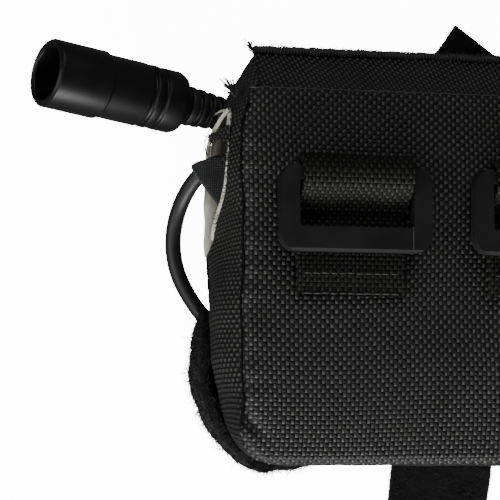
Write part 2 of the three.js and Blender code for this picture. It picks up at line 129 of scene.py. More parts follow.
def waves(s, t, size, seed):
    """Smooth random height between about -1 and 1, with features of about size millimetres."""
    rng = np.random.default_rng(seed)
    total = np.zeros(np.broadcast(s, t).shape)
    for _ in range(9):
        angle = rng.uniform(0, 2 * pi)
        k = 2 * pi / (size * rng.uniform(0.7, 1.6))
        total += np.sin(k * (s * cos(angle) + t * sin(angle)) + rng.uniform(0, 6.28))
    return total / 4.5


def plain_weave(u, v):
    """Height of a plain weave from 0 to 1; u and v count the yarns."""
    i, j = np.floor(u), np.floor(v)
    fu, fv = u - i - 0.5, v - j - 0.5
    warp = (i + j) % 2 == 0
    across = np.where(warp, fu, fv)
    along = np.where(warp, fv, fu)
    dome = np.sqrt(unit(1 - (across / 0.56) ** 2)) * np.cos(along * 2.7)
    return unit(np.where(warp, 1.0, 0.5) * dome)


SKEW = 0.9
JITTER = 0.05
UNEVEN = 0.2


def woven(name, surface, span_u, span_v, inside, pitch=YARN, depth=0.34, **rest):
    """A woven sheet. surface maps flat millimetres (s, t) to points; inside says which cells are kept."""
    half = pitch / 2
    s = np.arange(floor(span_u[0] / half), ceil(span_u[1] / half) + 1) * half
    t = np.arange(floor(span_v[0] / half), ceil(span_v[1] / half) + 1) * half
    s, t = np.meshgrid(s, t)
    u, v = s / pitch, t / pitch
    s, t = s + SKEW * waves(s, t, 46, 13) + JITTER * waves(s, t, 7, 14), t + SKEW * waves(s, t, 52, 15)
    points = surface(s, t)
    normals = directions(np.cross(np.gradient(points, axis=1), np.gradient(points, axis=0)))
    relief = (plain_weave(u, v) - 0.5) * depth * (1 + UNEVEN * waves(s, t, 3.1, 5))
    points = points + normals * relief[..., None]
    keep = inside and inside((s[:-1, :-1] + s[1:, 1:]) / 2, (t[:-1, :-1] + t[1:, 1:]) / 2)
    faces, used = grid_faces(*s.shape, keep)
    yarn = xyz(u, v, relief).reshape(-1, 3)
    return add_mesh(name, points.reshape(-1, 3)[used], [faces], yarn=yarn[used], **rest)


# Materials
def connect(tree, node, inputs):
    """Sets a node's inputs to values, or links them to sockets."""
    for key, value in inputs.items():
        if isinstance(value, bpy.types.NodeSocket):
            tree.links.new(value, node.inputs[key])
        else:
            node.inputs[key].default_value = value


def add_node(tree, kind, inputs, **settings):
    node = tree.nodes.new("ShaderNode" + kind)
    for key, value in settings.items():
        setattr(node, key, value)
    connect(tree, node, inputs)
    return node


def shader_for(name, roughness, color=(0.02, 0.02, 0.02), specular=0.5, sheen=0.0, metallic=0.0):
    material = bpy.data.materials.new(name)
    material.use_nodes = True
    tree = material.node_tree
    shader = tree.nodes["Principled BSDF"]
    connect(tree, shader, {
        "Base Color": (*color, 1), "Roughness": roughness, "Metallic": metallic, "Specular IOR Level": specular,
        "Sheen Weight": sheen, "Sheen Roughness": 0.5,
    })
    return material, tree, shader


def calc(tree, operation, *values):
    return add_node(tree, "Math", dict(enumerate(values)), operation=operation).outputs[0]


def sums(tree):
    """Add, subtract and multiply in that node tree."""
    return [partial(calc, tree, operation) for operation in ("ADD", "SUBTRACT", "MULTIPLY")]


def ramp(tree, factor, stops):
    node = add_node(tree, "ValToRGB", {0: factor})
    elements = node.color_ramp.elements
    while len(elements) < len(stops):
        elements.new(0.5)
    for element, (place, color) in zip(elements, stops):
        element.position = place
        element.color = (*color, 1)
    return node.outputs[0]


def noise(tree, vector, scale, detail=2.0, roughness=0.5):
    inputs = {"Vector": vector, "Scale": scale, "Detail": detail, "Roughness": roughness}
    return add_node(tree, "TexNoise", inputs).outputs[0]


def mixed(tree, factor, a, b, blend="MIX"):
    a, b = (value if isinstance(value, bpy.types.NodeSocket) else (*value, 1) for value in (a, b))
    return add_node(tree, "Mix", {0: factor, 6: a, 7: b}, data_type="RGBA", blend_type=blend).outputs[2]


def bump(tree, height, strength, distance):
    return add_node(tree, "Bump", {"Strength": strength, "Distance": distance, "Height": height}).outputs[0]


def object_coords(tree):
    return tree.nodes.new("ShaderNodeTexCoord").outputs["Object"]


def weave_material(name, warp, weft, hole, roughness, narrow=3.6, specular=0.2, sheen=0.0):
    """Woven cloth painted from the yarn attribute: which yarn is on top, its rounding and its filaments. The
    colour fades over each yarn's rounding to the hole colour as painted shade, and the brighter of the warp and
    weft colours carries a painted highlight.
    """
    material, tree, shader = shader_for(name, roughness, sheen=sheen, specular=specular)
    add, subtract, times = sums(tree)
    attribute = add_node(tree, "Attribute", {}, attribute_name="yarn")
    u, v, _ = add_node(tree, "SeparateXYZ", {0: attribute.outputs["Vector"]}).outputs
    fu, fv = (subtract(calc(tree, "FRACT", value), 0.5) for value in (u, v))
    cells = add(calc(tree, "FLOOR", u), calc(tree, "FLOOR", v))
    is_weft = calc(tree, "PINGPONG", cells, 1.0)
    is_warp = subtract(1.0, is_weft)
    across = add(times(fv, is_weft), times(fu, is_warp))
    along = add(times(fu, is_weft), times(fv, is_warp))
    square = calc(tree, "POWER", calc(tree, "ABSOLUTE", across), 2.0)
    side_fall = calc(tree, "SQRT", calc(tree, "MAXIMUM", 0.0, subtract(1.0, times(square, narrow))))
    dome = times(side_fall, calc(tree, "COSINE", times(along, 2.8)))
    strand = add_node(tree, "CombineXYZ", {0: times(across, 9.0), 1: times(along, 1.3), 2: cells}).outputs[0]
    filament = noise(tree, strand, 1.0)
    blotch = noise(tree, object_coords(tree), 210.0, 3.0)
    speck = noise(tree, object_coords(tree), 1500.0, 1.0)
    top = calc(tree, "SMOOTH_MIN", times(dome, 1.5), 1.0, 0.2)
    # painted light: the yarn colour with its painted highlight, fading over the yarn's rounding to the hole
    # colour as painted shade
    painted_yarn_light = mixed(tree, top, hole, mixed(tree, is_weft, warp, weft))
    shade = add(add(times(filament, 0.5), times(blotch, 0.7)), times(speck, 0.5))
    tone = ramp(tree, shade, [(0.35, (0.55, 0.55, 0.55)), (1.0, (1.0, 1.0, 1.0))])
    connect(tree, shader, {
        "Base Color": mixed(tree, 1.0, painted_yarn_light, tone, "MULTIPLY"),
        "Roughness": add(roughness - 0.12, times(blotch, 0.24)),
        "Normal": bump(tree, add(dome, times(filament, 0.3)), 0.8, 0.00022),
    })
    return material


def moulded_material(name, color, roughness, scale=2600.0, spread=0.16, specular=0.5, metallic=0.0):
    """Moulded or drawn stock with a fine grain and broad changes of tone and gloss."""
    material, tree, shader = shader_for(name, roughness, color, specular, metallic=metallic)
    add, _, times = sums(tree)
    place = object_coords(tree)
    fine, broad = noise(tree, place, scale), noise(tree, place, 130.0, 3.0)
    dark, light = tuple(c * 0.72 for c in color), tuple(c * 1.3 for c in color)
    connect(tree, shader, {
        "Base Color": ramp(tree, add(times(fine, 0.3), times(broad, 0.7)), [(0.3, dark), (0.7, light)]),
        "Roughness": add(roughness - spread / 2, times(broad, spread)),
        "Normal": bump(tree, fine, 0.5, 0.00002),
    })
    return material


def pile_material(name, color, light):
    """Standing pile or open foam, mottled from tuft to tuft."""
    material, tree, shader = shader_for(name, 0.95, specular=0.1, sheen=0.08)
    add, _, times = sums(tree)
    place = object_coords(tree)
    tuft, broad = noise(tree, place, 2600.0, 3.0, 0.7), noise(tree, place, 260.0, 3.0)
    connect(tree, shader, {
        "Base Color": ramp(tree, add(times(tuft, 0.65), times(broad, 0.35)), [(0.36, color), (0.72, light)]),
        "Normal": bump(tree, tuft, 1.0, 0.00025),
    })
    return material


# Looks: a slot name and the material that a piece gets; woven ones give the colours of warp, weft and holes
# The brighter of warp and weft carries a painted highlight, and the dark hole colours are painted shade between
# the yarns
CLOTH = "fabric", weave_material(
    "coated_nylon", (0.043, 0.043, 0.041), (0.0034, 0.0034, 0.0033), (0.0008, 0.0008, 0.0008),
    roughness=0.46, narrow=7.0, specular=0.21)
WEBBING = "webbing", weave_material(
    "webbing_nylon", (0.003, 0.003, 0.0027), (0.0195, 0.0195, 0.0172), (0.0005, 0.0005, 0.0005),
    roughness=0.5, narrow=5.0, specular=0.1)
TAPE = "fabric", weave_material(
    "tape_cloth", (0.020, 0.021, 0.021), (0.011, 0.0115, 0.0115), (0.003, 0.003, 0.003), roughness=0.7, sheen=0.1)
RUBBER = "rubber", moulded_material("soft_black", (0.0028, 0.0028, 0.003), 0.5, specular=0.35)
MOULDED = "moulded", moulded_material("moulded_black", (0.0026, 0.0026, 0.0028), 0.4, specular=0.22)
ACETAL = moulded_material("acetal_black", (0.0082, 0.0082, 0.0084), 0.6, specular=0.08)
# painted highlight: lighter than the buckles, for the lit edge of each step
STEP_HIGHLIGHT = "acetal", moulded_material("buckle_step_highlight", (0.03, 0.03, 0.032), 0.4)
THREAD = "fabric", moulded_material("black_thread", (0.009, 0.009, 0.009), 0.7, scale=4000.0)
FRAY = "fabric", moulded_material("frayed_yarn", (0.009, 0.009, 0.009), 0.75, scale=4000.0)
HEM = "fabric", moulded_material("hem_thread", (0.016, 0.016, 0.015), 0.6, scale=4000.0)
# painted shade: the seam thread is darker than the cloth to stand for the shaded crease
SEAM_SHADE = "fabric", moulded_material("seam_shade", (0.0012, 0.0012, 0.0012), 0.8, scale=4000.0, specular=0.1)
PALE = "lining", moulded_material("coated_lining", (0.40, 0.385, 0.335), 0.75, scale=900.0, specular=0.2)
PILE = "pile", pile_material("loop_pile", (0.0018, 0.0018, 0.002), (0.0085, 0.0085, 0.009))
FOAM = pile_material("closed_foam", (0.02, 0.02, 0.022), (0.05, 0.05, 0.055))

# Camera, at the photograph's angle
AIM = to_frame((-37.4, 3.9, 29.0))
DISTANCE = 0.45
LENS = 183
LEAN_LEFT = radians(15.5)
LEAN_DOWN = radians(4.5)


def add_camera():
    back = Vector((-tan(LEAN_LEFT), -tan(LEAN_DOWN), 1)).normalized()
    right = Vector((0, 1, 0)).cross(back).normalized()
    turn = Matrix((right, back.cross(right), back)).transposed().to_4x4()
    data = bpy.data.cameras.new("camera")
    data.sensor_width = 36
    data.lens = LENS
    data.clip_start = 0.01
    data.clip_end = 20
    camera = place_object("camera", data)
    camera.matrix_world = Matrix.Translation(Vector(AIM) + back * DISTANCE) @ turn
    bpy.context.scene.camera = camera


add_camera()

# Lead
CABLE_DIAMETER = 3.0
CABLE_POINTS = [
    (-35.6, 21.6, 8.2), (-38.4, 21.4, 8.1), (-41.2, 18.9, 5.2), (-43.2, 13.9, 0.6), (-43.9, 8.2, -1.7),
    (-43.2, 2.6, -2.0), (-40.9, -2.4, -2.0), (-37.4, -6.8, -2.0), (-32.6, -9.6, -2.0), (-27.2, -9.7, -2.0),
    (-22.3, -7.2, -2.0), (-19.3, -2.6, -2.0), (-18.2, 2.8, -2.0), (-18.0, 8.6, -2.0), (-18.0, 14.4, -2.0),
    (-18.3, 20.2, -2.0), (-19.5, 25.0, -2.0), (-22.2, 28.5, -1.95), (-25.7, 30.4, -1.85), (-29.5, 31.0, -1.3),
    (-32.4, 31.4, -0.45), (-35.2, 31.85, 0.35),
]


def between(a, b, t, start, end):
    return ((end - t) * a + (t - start) * b) / (end - start)


def centripetal(points, steps=10):
    """The CAD source's centripetal Catmull-Rom line."""
    p = [np.array(q, float) for q in points]
    p = [2 * p[0] - p[1]] + p + [2 * p[-1] - p[-2]]
    line = []
    for i in range(1, len(p) - 2):
        q = p[i - 1:i + 3]
        knots = [0.0]
        for k in range(3):
            knots.append(knots[-1] + max(np.linalg.norm(q[k + 1] - q[k]), 1e-9) ** 0.5)
        for n in range(steps):
            t = knots[1] + (knots[2] - knots[1]) * n / steps
            a = [between(q[k], q[k + 1], t, knots[k], knots[k + 1]) for k in range(3)]
            b = [between(a[k], a[k + 1], t, knots[k], knots[k + 2]) for k in range(2)]
            line.append(between(b[0], b[1], t, knots[1], knots[2]))
    return np.array(line + [p[-2]])


def round_cord(name, line, diameter, material):
    curve = bpy.data.curves.new(name, "CURVE")
    curve.dimensions = "3D"
    curve.bevel_depth = diameter / 2 * TO_METRES
    curve.bevel_resolution = 6
    curve.use_fill_caps = True
    spline = curve.splines.new("POLY")
    spline.points.add(len(line) - 1)
    for point, place in zip(spline.points, to_frame(line)):
        point.co = (*place, 1)
    spline.use_smooth = True
    curve.materials.append(material)
    return place_object(name, curve)


cable_line = centripetal(CABLE_POINTS)
cable = round_cord("lead", cable_line, CABLE_DIAMETER, RUBBER[1])
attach(cable, "pouch")
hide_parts("lead_cable")

# Connector: lathed from its mouth backwards, profiles as (radius, distance from the mouth)
MOUTH = np.array((-70.9, 36.95, 10.8))
TAIL = np.array((-34.6, 31.75, 0.15))
AXIS = directions(TAIL - MOUTH)
SIDE = directions(np.cross((0, 0, 1), AXIS))
RISE = np.cross(SIDE, AXIS)
BODY_PROFILE = [
    (0, 12), (5, 12), (5, 0.45), (5.35, 0.05), (5.85, 0), (6.35, 0.6), (6.35, 11), (5.95, 11.3), (5.95, 19.6),
    (5.45, 19.9), (5.45, 20.5), (5.9, 20.8), (5.9, 22), (5.45, 22.3), (5.45, 22.9), (5.85, 23.2), (5.85, 26.8),
    (5.45, 27.7), (4.2, 28.2), (3.7, 29.2), (0, 29.2),
]
RELIEF_RIBS = 4
RIB_PITCH = 2.2
RIB_START = 30.8
RIB_DEPTH = 0.75


def relief_profile():
    """The strain relief: ribs that get thinner towards its end."""
    profile = [(1.75, 40.2), (1.75, 29.5), (3.7, 29.5), (3.75, RIB_START)]
    for ring in range(RELIEF_RIBS):
        start = RIB_START + ring * RIB_PITCH
        r = 3.7 - ring * 0.2
        groove = r - RIB_DEPTH
        profile += [(groove, start + 0.25), (groove, start + 0.95), (r, start + 1.15), (r - 0.1, start + 2.15)]
    return profile + [(2.5, 40.2), (1.75, 40.2)]


def rounded_profile(profile, radius, steps=3):
    """The profile with its corners rounded off."""
    p = [np.array(q, float) for q in profile]
    out = [p[0]]
    for a, b, c in zip(p, p[1:], p[2:]):
        before, after = np.linalg.norm(b - a), np.linalg.norm(c - b)
        cut = min(radius, before * 0.45, after * 0.45)
        start, end = b + (a - b) / before * cut, b + (c - b) / after * cut
        for n in range(steps + 1):
            t = n / steps
            out.append((1 - t) ** 2 * start + 2 * t * (1 - t) * b + t * t * end)
    return out + [p[-1]]


def lathe(name, profile, radius, segments=96, **rest):
    profile = rounded_profile(profile, radius)
    angles = np.linspace(0, 2 * pi, segments, endpoint=False)
    around = np.cos(angles)[:, None] * SIDE + np.sin(angles)[:, None] * RISE
    points = np.concatenate([MOUTH + AXIS * t + around * max(r, 0.001) for r, t in profile])
    return add_mesh(name, points, [ring_faces(len(profile), segments)], **rest)


socket = lathe("socket_body", BODY_PROFILE, 0.16, node="connector_body", look=MOULDED)
relief = lathe("ribbed_relief", relief_profile(), 0.2, node="strain_relief", look=RUBBER)

# Pouch shape
ROLL = 1.6
FRONT_CORE = 4.6
FRONT_TURN = 1.2
BACK_ROLL = 2.5
BACK_CORE = 10.5
TAPER_Y = 26
HEM_FOLD = 0.5
PUCKER_X, PUCKER_Y = -36.6, -26.2


def half_width(y):
    return HALF_WIDTH - (HALF_WIDTH - RIDGE_HALF) * np.clip((y - TAPER_Y) / (RIDGE_Y - TAPER_Y), 0, 1.2) ** 1.3


def crease_in(y):
    """How far the seam of the front lies inside the pouch's width."""
    return 0.65 + 0.2 * np.sin(y * 0.21) + 0.12 * np.sin(y * 0.53 + 1)


def back_height(y):
    """The back slopes up from HEAD_Y to the ridge."""
    return 11.3 * np.clip((y - HEAD_Y) / (RIDGE_Y - HEAD_Y), 0, 1.2) ** 1.6


def back_narrowing(y):
    """Share of the narrowing towards the lower end, where the back is smaller than the front."""
    return unit((4 - y) / 26)


def front_level(x, y):
    """Height of the stuffed front: it falls away to the lower end and a little to the hem and the sides."""
    low = -2.4 * unit((-12 - y) / 22) ** 2
    high = -0.9 * unit((y - 21) / 13) ** 1.6
    sides = -0.55 * unit((np.abs(x) - 28) / 10) ** 2
    return FRONT_Z - 0.15 + low + high + sides + 0.16 * waves(x, y, 24, 1)


def rolled(s, t, wide, roll, core, most):
    """Plan point and angle turned where a flat sheet rolls over the pouch's edge."""
    cx, cy = wide - roll - core, BOTTOM_Y + roll + core
    base_x, base_y = np.clip(s, -cx, cx), np.maximum(t, cy)
    out_x, out_y = s - base_x, t - base_y
    far = np.maximum(np.hypot(out_x, out_y), 1e-9)
    angle = np.clip((far - core) / roll, 0, most)
    reach = np.minimum(far, core) + roll * np.sin(angle)
    return base_x + out_x / far * reach, base_y + out_y / far * reach, angle


def front_surface(s, t):
    hem = HEM_Y - HEM_FOLD
    over = np.clip(t - hem, 0, None)
    y = np.minimum(t, hem)
    x, y, angle = rolled(s, y, half_width(y) - crease_in(y), ROLL, FRONT_CORE, FRONT_TURN)
    z = front_level(x, y) - ROLL * (1 - np.cos(angle))
    z = z - np.exp(-((x - PUCKER_X) / 2.6) ** 2 - ((y - PUCKER_Y + 0.6 * (x + 37)) / 1.5) ** 2)
    edge = np.exp(-np.clip(half_width(y) - 1 - np.abs(x), 0, None) / 2.2)
    z = z + 0.22 * edge * np.sin(y * 1.05 + 1.5 * np.sin(y * 0.31)) * (angle < 0.9)
    turn = np.minimum(over / HEM_FOLD, pi)
    y = y + HEM_FOLD * np.sin(turn) - np.clip(over - HEM_FOLD * pi, 0, None)
    return xyz(x, y, z - HEM_FOLD * (1 - np.cos(turn)))


def front_inside(s, t):
    _, _, angle = rolled(s, np.minimum(t, 33), half_width(t) - crease_in(t), ROLL, FRONT_CORE, 9)
    return angle < FRONT_TURN + 0.05


front = woven("front_cloth", front_surface, (-40, 40), (-36, 36.2), front_inside, node="front_panel", look=CLOTH)

# Side walls: one band from the left head round the lower end to the right head
SIDE_END = -21.0
CORNER = 13.0
CORNER_TIGHT = 6.0
CORNER_ARC = CORNER * pi / 2
BOTTOM_HALF = 25.5
HEAD_SLOPE = 1.44


def corner_path(p, radius):
    """Down the left side and round the corner, p from 0 at SIDE_END to 1 at the bottom's straight."""
    straight = CORNER - radius
    arc = radius * pi / 2
    d = p * (2 * straight + arc)
    a = np.clip((d - straight) / radius, 0, pi / 2)
    x = -HALF_WIDTH + radius * (1 - np.cos(a)) + np.clip(d - straight - arc, 0, None)
    y = SIDE_END - np.minimum(d, straight) - radius * np.sin(a)
    return x, y


def wall_plan(s, share):
    """Plan point of the wall; s is 0 at the lower end's middle and grows towards the left head."""
    run = np.abs(s) - BOTTOM_HALF
    p = 1 - unit(run / CORNER_ARC)
    bx, by = corner_path(p, CORNER)
    fx, fy = corner_path(p, CORNER_TIGHT)
    x, y = bx + (fx - bx) * share, by + (fy - by) * share
    up = np.clip(run - CORNER_ARC, 0, None)
    y = y + up
    narrow = 2.3 * back_narrowing(y) * (1 - share) ** 1.2 * (run > 0)
    narrow = narrow + crease_in(y) * unit(share) ** 2 * (run > 0)
    x = np.where(run < 0, -np.abs(s), np.where(up > 0, -half_width(y), x)) + narrow
    return x * np.sign(s), y


def wall_share(t):
    """How far up the wall t is, from 0 at the back to 1 at the front."""
    return unit((t - 2) / 24)


def wall_foot(y, rise):
    return back_height(y) + rise - 1.7 * unit((y - 36) / 5)


def head_height(y, at_hem):
    """The wall's height under the sloping flap."""
    return at_hem + (33.5 - y) * HEAD_SLOPE


def wall_surface(s, t):
    rough_y = np.where(np.abs(s) < BOTTOM_HALF, BOTTOM_Y, SIDE_END + np.abs(s) - BOTTOM_HALF - CORNER_ARC)
    y0 = np.clip(rough_y, BOTTOM_Y, 41)
    x, y = wall_plan(s, wall_share(t))
    low = wall_foot(y, 2.3)
    high = np.maximum(np.minimum(front_level(x, y) - 0.75, head_height(y, 24.6)), low + 0.05)
    z = np.clip(t, low, high)
    share = (z - low) / np.maximum(high - low, 1)
    tuck = -0.75 * np.exp(-(high - z) / 0.9) - 0.3 * np.exp(-(z - low) / 0.6)
    full = 0.35 + 2.1 * unit((5 - y) / 12) * unit((y + 25) / 10)
    bulge = full * np.sin(pi * share) * unit(1 - (y0 - 20) / 20) + 0.22 * waves(s, t, 13, 8)
    pucker = 0.18 * np.exp(-(high - z) / 2.0) * np.sin(s * 1.05 + 2 * np.sin(s * 0.3))
    points = xyz(x, y, z)
    ahead = xyz(*wall_plan(s + 0.05, share), z) - xyz(*wall_plan(s - 0.05, share), z)
    out = directions(xyz(-ahead[..., 1], ahead[..., 0], 0))
    out *= np.where(np.sum(out[..., :2] * points[..., :2], -1) < 0, -1, 1)[..., None]
    return points + out * (tuck + bulge + pucker - 0.15)[..., None]


def wall_inside(s, t):
    _, y = wall_plan(s, wall_share(t))
    high = np.minimum(FRONT_Z - 0.2, head_height(y, 24.7))
    return (t > wall_foot(y, 2.0)) & (t < high) & (y < 42.3)


# Slit in the left wall: its edge as (y, z), and no slit past its ends
SLIT_LINE = [(3.6, -2), (4.3, 1.9), (6.9, 9.3), (9.6, 11.2), (12.5, 13.2), (15, 16.6), (17.3, 18.5), (21, 19.2),
             (24, 18.9), (26.5, 18.6), (28.5, 18.0), (30.0, 16.6), (31.0, 13.5), (31.5, 10), (31.6, 5), (31.7, 0)]
SLIT_YS, SLIT_ZS = np.transpose(SLIT_LINE)
NO_SLIT = -9


def slit_edge(y):
    return np.where((y > SLIT_YS[0]) & (y < SLIT_YS[-1]), np.interp(y, SLIT_YS, SLIT_ZS), NO_SLIT)


def left_surface(s, t):
    edge = slit_edge(wall_plan(s, 0.5)[1])
    points = wall_surface(s, np.maximum(t, edge))
    near = np.exp(-(np.maximum(t - edge, 0) / 2.4) ** 2) * (edge > -5)
    points[..., 0] -= near * 0.2
    return points


def left_inside(s, t):
    return wall_inside(s, t) & (t > slit_edge(wall_plan(s, 0.5)[1]) - 0.2)


CORNER_MID = BOTTOM_HALF + CORNER_ARC / 2
HEAD_S = BOTTOM_HALF + CORNER_ARC + 63
WALL_SPAN = (1.8, 27.2)
left_wall, lower_wall, right_wall = (
    woven(name, surface, span, WALL_SPAN, inside, node=node, look=CLOTH)
    for name, surface, span, inside, node in (
        ("left_cloth", left_surface, (CORNER_MID, HEAD_S), left_inside, "gusset_left"),
        ("lower_cloth", wall_surface, (-CORNER_MID, CORNER_MID), wall_inside, "bottom_panel"),
        ("right_cloth", wall_surface, (-HEAD_S, -CORNER_MID), wall_inside, "gusset_right")))

# Back panel, with a notch under the slit
NOTCH_LOW, NOTCH_HIGH = 4.6, 28.6


def back_rolled(s, t, most):
    return rolled(s, t, half_width(t) - 1.8 * back_narrowing(t), BACK_ROLL, BACK_CORE, most)


def back_surface(s, t):
    x, y, angle = back_rolled(s, t, 1.45)
    notch = unit(np.minimum((y - NOTCH_LOW) / 1.2, (NOTCH_HIGH - y) / 1.2))
    x = np.maximum(x, -38.6 + 4.6 * notch)
    return xyz(x, y, back_height(y) + BACK_ROLL * (1 - np.cos(angle)) + 0.15)


def back_inside(s, t):
    hole = (s < -34) & (t > 5) & (t < 28.2)
    return (back_rolled(s, t, 9)[2] < 1.5) & ~hole


COARSE_YARN = YARN * 1.5
back_cloth = woven("back_cloth", back_surface, (-41, 41), (-37, 41.2), back_inside, pitch=COARSE_YARN, depth=0.3,
                   node="back_panel", look=CLOTH)

# Head: flap and lip, on a slope from the hem to the ridge, given as (y, z)
FLAP_EDGE = np.array((33.3, 25.3))
FLAP_ROOT = np.array((41.4, 13.6))
FLAP_ALONG = directions(FLAP_ROOT - FLAP_EDGE)
FLAP_LENGTH = 14.2
EDGE_HALF, ROOT_HALF = 34.3, 32.3
LIP_HALF = 32.5
LIP_DEPTH = 3.6


def slope_point(x, t, depth):
    """A point t along the head's slope and depth under it."""
    y = FLAP_EDGE[0] + FLAP_ALONG[0] * t + FLAP_ALONG[1] * depth
    z = FLAP_EDGE[1] + FLAP_ALONG[1] * t - FLAP_ALONG[0] * depth
    return xyz(x, y, z)


def flap_surface(s, t):
    half = EDGE_HALF + (ROOT_HALF - EDGE_HALF) * np.clip(t / FLAP_LENGTH, -0.2, 1.1)
    x = np.clip(s, -half, half)
    sink = 0.35 * waves(x, t, 17, 21) - 0.5 * np.sin(unit(t / FLAP_LENGTH) * pi)
    return slope_point(x, t, 0.25 - sink * 0.6)


def lip_surface(s, t):
    return slope_point(np.clip(s, -LIP_HALF, LIP_HALF), t, LIP_DEPTH)


flap_cloth = woven("flap_cloth", flap_surface, (-34.4, 34.4), (0.1, 15.3), None, body="flap",
                   node="top_flap", look=CLOTH)
lip_cloth = woven("lip_cloth", lip_surface, (-32, 32), (-2, 10), None, pitch=COARSE_YARN,
                  node="front_lip", look=CLOTH)


def tubes(name, lines, radius, sides, **rest):
    """Many thin round threads as one mesh. lines is a list of point arrays."""
    points, faces, count = [], [], 0
    angles = np.linspace(0, 2 * pi, sides, endpoint=False)
    cosines, sines = np.cos(angles)[None, :, None], np.sin(angles)[None, :, None]
    for line in lines:
        line = np.asarray(line, float)
        ahead = directions(np.gradient(line, axis=0))
        guide = np.where(np.abs(ahead[:, 2:3]) > 0.9, (1, 0, 0), (0, 0, 1))
        a = directions(np.cross(ahead, guide))
        b = np.cross(ahead, a)
        ring = line[:, None] + radius * (cosines * a[:, None] + sines * b[:, None])
        points.append(ring.reshape(-1, 3))
        faces.append(ring_faces(len(line), sides) + count)
        count += len(line) * sides
    return add_mesh(name, np.concatenate(points), faces, **rest)


# Ridge: a core with thread wound round it
RIDGE_START, RIDGE_END = -32.2, 31.9
WRAP_PITCH = 0.62
WRAP_RADIUS = 0.78


def wrap_line():
    x = np.arange(RIDGE_START, RIDGE_END, 0.055)
    turn = x * 2 * pi / WRAP_PITCH + 0.7 * np.sin(x * 1.3) + 0.5 * np.sin(x * 0.37)
    radius = WRAP_RADIUS + 0.07 * np.sin(x * 2.1)
    return xyz(x + 0.2 * np.sin(turn), RIDGE_Y + 0.15 + radius * np.cos(turn), RIDGE_Z + radius * np.sin(turn))


def core_line():
    x = np.linspace(RIDGE_START, RIDGE_END, 90)
    return xyz(x, RIDGE_Y + 0.15 + 0.12 * np.sin(x), RIDGE_Z + 0.1 * np.cos(x * 1.3))


tubes("ridge_core", [core_line()], 0.76, 10, node="ridge_binding", look=FRAY)
tubes("ridge_wrap", [wrap_line()], 0.17, 5, look=THREAD)

# Front keepers: webbing that goes up under the buckle, round its top bar and back down
KEEPER_TURN = radians(185)
BAR_Y, BAR_Z = 17.9, 30.7
LOOP = 2.7
KEEPER_BASE = FRONT_Z + 0.3 + 0.7
WEB_U, WEB_V = 0.72, 0.8
EDGE_ROUND = 0.2
EDGE_STEPS = 4


def keeper_path():
    path = [(-3.9, KEEPER_BASE - 0.25)] + [(y, KEEPER_BASE) for y in (-1, 4, 10, BAR_Y - 1)]
    for i in range(13):
        a = -pi / 2 + KEEPER_TURN * i / 12
        path.append((BAR_Y + LOOP * cos(a), BAR_Z + LOOP * sin(a)))
    path.append((15.9, BAR_Z + LOOP * 0.93))
    path += [(y, KEEPER_BASE + rise) for y, rise in ((14.6, 3.7), (13.6, 2.5), (12.6, 1.8), (11.4, 1.5))]
    return path


def columns_at(values, at, known):
    """The columns of values, known at some places, at other places."""
    return np.stack([np.interp(at, known, column) for column in values.T], -1)


def resample(path, step, smooth=2):
    """The path as even short steps, its corners eased."""
    path = np.asarray(path, float)
    for _ in range(smooth):
        q = 0.75 * path[:-1] + 0.25 * path[1:]
        r = 0.25 * path[:-1] + 0.75 * path[1:]
        path = np.concatenate([path[:1], np.stack([q, r], 1).reshape(-1, path.shape[1]), path[-1:]])
    length = np.concatenate([[0], np.cumsum(np.linalg.norm(np.diff(path, axis=0), axis=1))])
    at = np.linspace(0, length[-1], max(int(length[-1] / step), 2) + 1)
    return columns_at(path, at, length), at


def along_path(path, step, smooth=2):
    """The path in two dimensions as even steps, the lengths run, and the directions square to it."""
    line, at = resample(path, step, smooth)
    ahead = directions(np.gradient(line, axis=0))
    return line, at, np.stack([-ahead[:, 1], ahead[:, 0]], -1)


def band_section(half_w, half_t):
    """A band's section as (across, height), with the face that each point is on, and its place in yarns."""
    steps = int(half_w / WEB_U * 2)
    across = np.arange(-steps, steps + 1) * WEB_U / 2
    across = across * (half_w - EDGE_ROUND) / max(abs(across[0]), 1e-6)
    top = np.stack([across, np.full(len(across), half_t)], -1)
    turn = np.linspace(0, pi, EDGE_STEPS + 2)[1:-1]
    side = np.stack([half_w - EDGE_ROUND + EDGE_ROUND * np.sin(turn), half_t * np.cos(turn)], -1)
    section = np.concatenate([top, side, top[::-1] * (1, -1), side[::-1] * (-1, 1)])
    edge = np.zeros(EDGE_STEPS)
    face = np.concatenate([np.ones(len(top)), edge, -np.ones(len(top)), edge])
    rim = half_w / WEB_U
    u = np.concatenate([across / WEB_U, edge + rim, across[::-1] / WEB_U + 0.5, edge - rim])
    return section, face, u, len(top)


def band(name, path, width, thick, place, depth, ripple=0.08, **rest):
    """Webbing of that width and thickness along a path in two dimensions, woven on both faces with rounded edges.
    place turns (across, path x, path y) into a point."""
    line, at, normal = along_path(path, WEB_V / 2)
    section, face, u, wide = band_section(width / 2, thick / 2)
    size = len(section)
    uu, vv, across = np.broadcast_arrays(u, (at / WEB_V)[:, None], section[:, 0])
    relief = (plain_weave(uu, vv) - 0.5) * depth * np.abs(face)
    lift = section[:, 1] + np.sign(section[:, 1]) * relief
    lift = lift + ripple * waves(across, vv * WEB_V, 11, 31)
    flat = line[:, None] + normal[:, None] * lift[..., None]
    points = place(section[:, 0] * (1 + 0.006 * waves(vv * WEB_V, vv, 9, 33)), flat[..., 0], flat[..., 1])
    high = np.arange(wide)
    low = 2 * wide + EDGE_STEPS - 1 - high
    cap = np.stack([high[:-1], high[1:], low[1:], low[:-1]], -1)
    faces = [ring_faces(len(line), size), cap, cap[:, ::-1] + (len(line) - 1) * size]
    return add_mesh(name, points, faces, yarn=xyz(uu, vv, relief), **rest)


BUCKLES = (("left", -BUCKLE_X), ("right", BUCKLE_X))
STITCH_ROWS = ((-3.5, 0.14), (0.1, 0))
STITCHES = 11
STITCH_PITCH = 1.62
STITCH_LENGTH = 1.25
STITCH_Z = FRONT_Z + 0.3 + 1.32


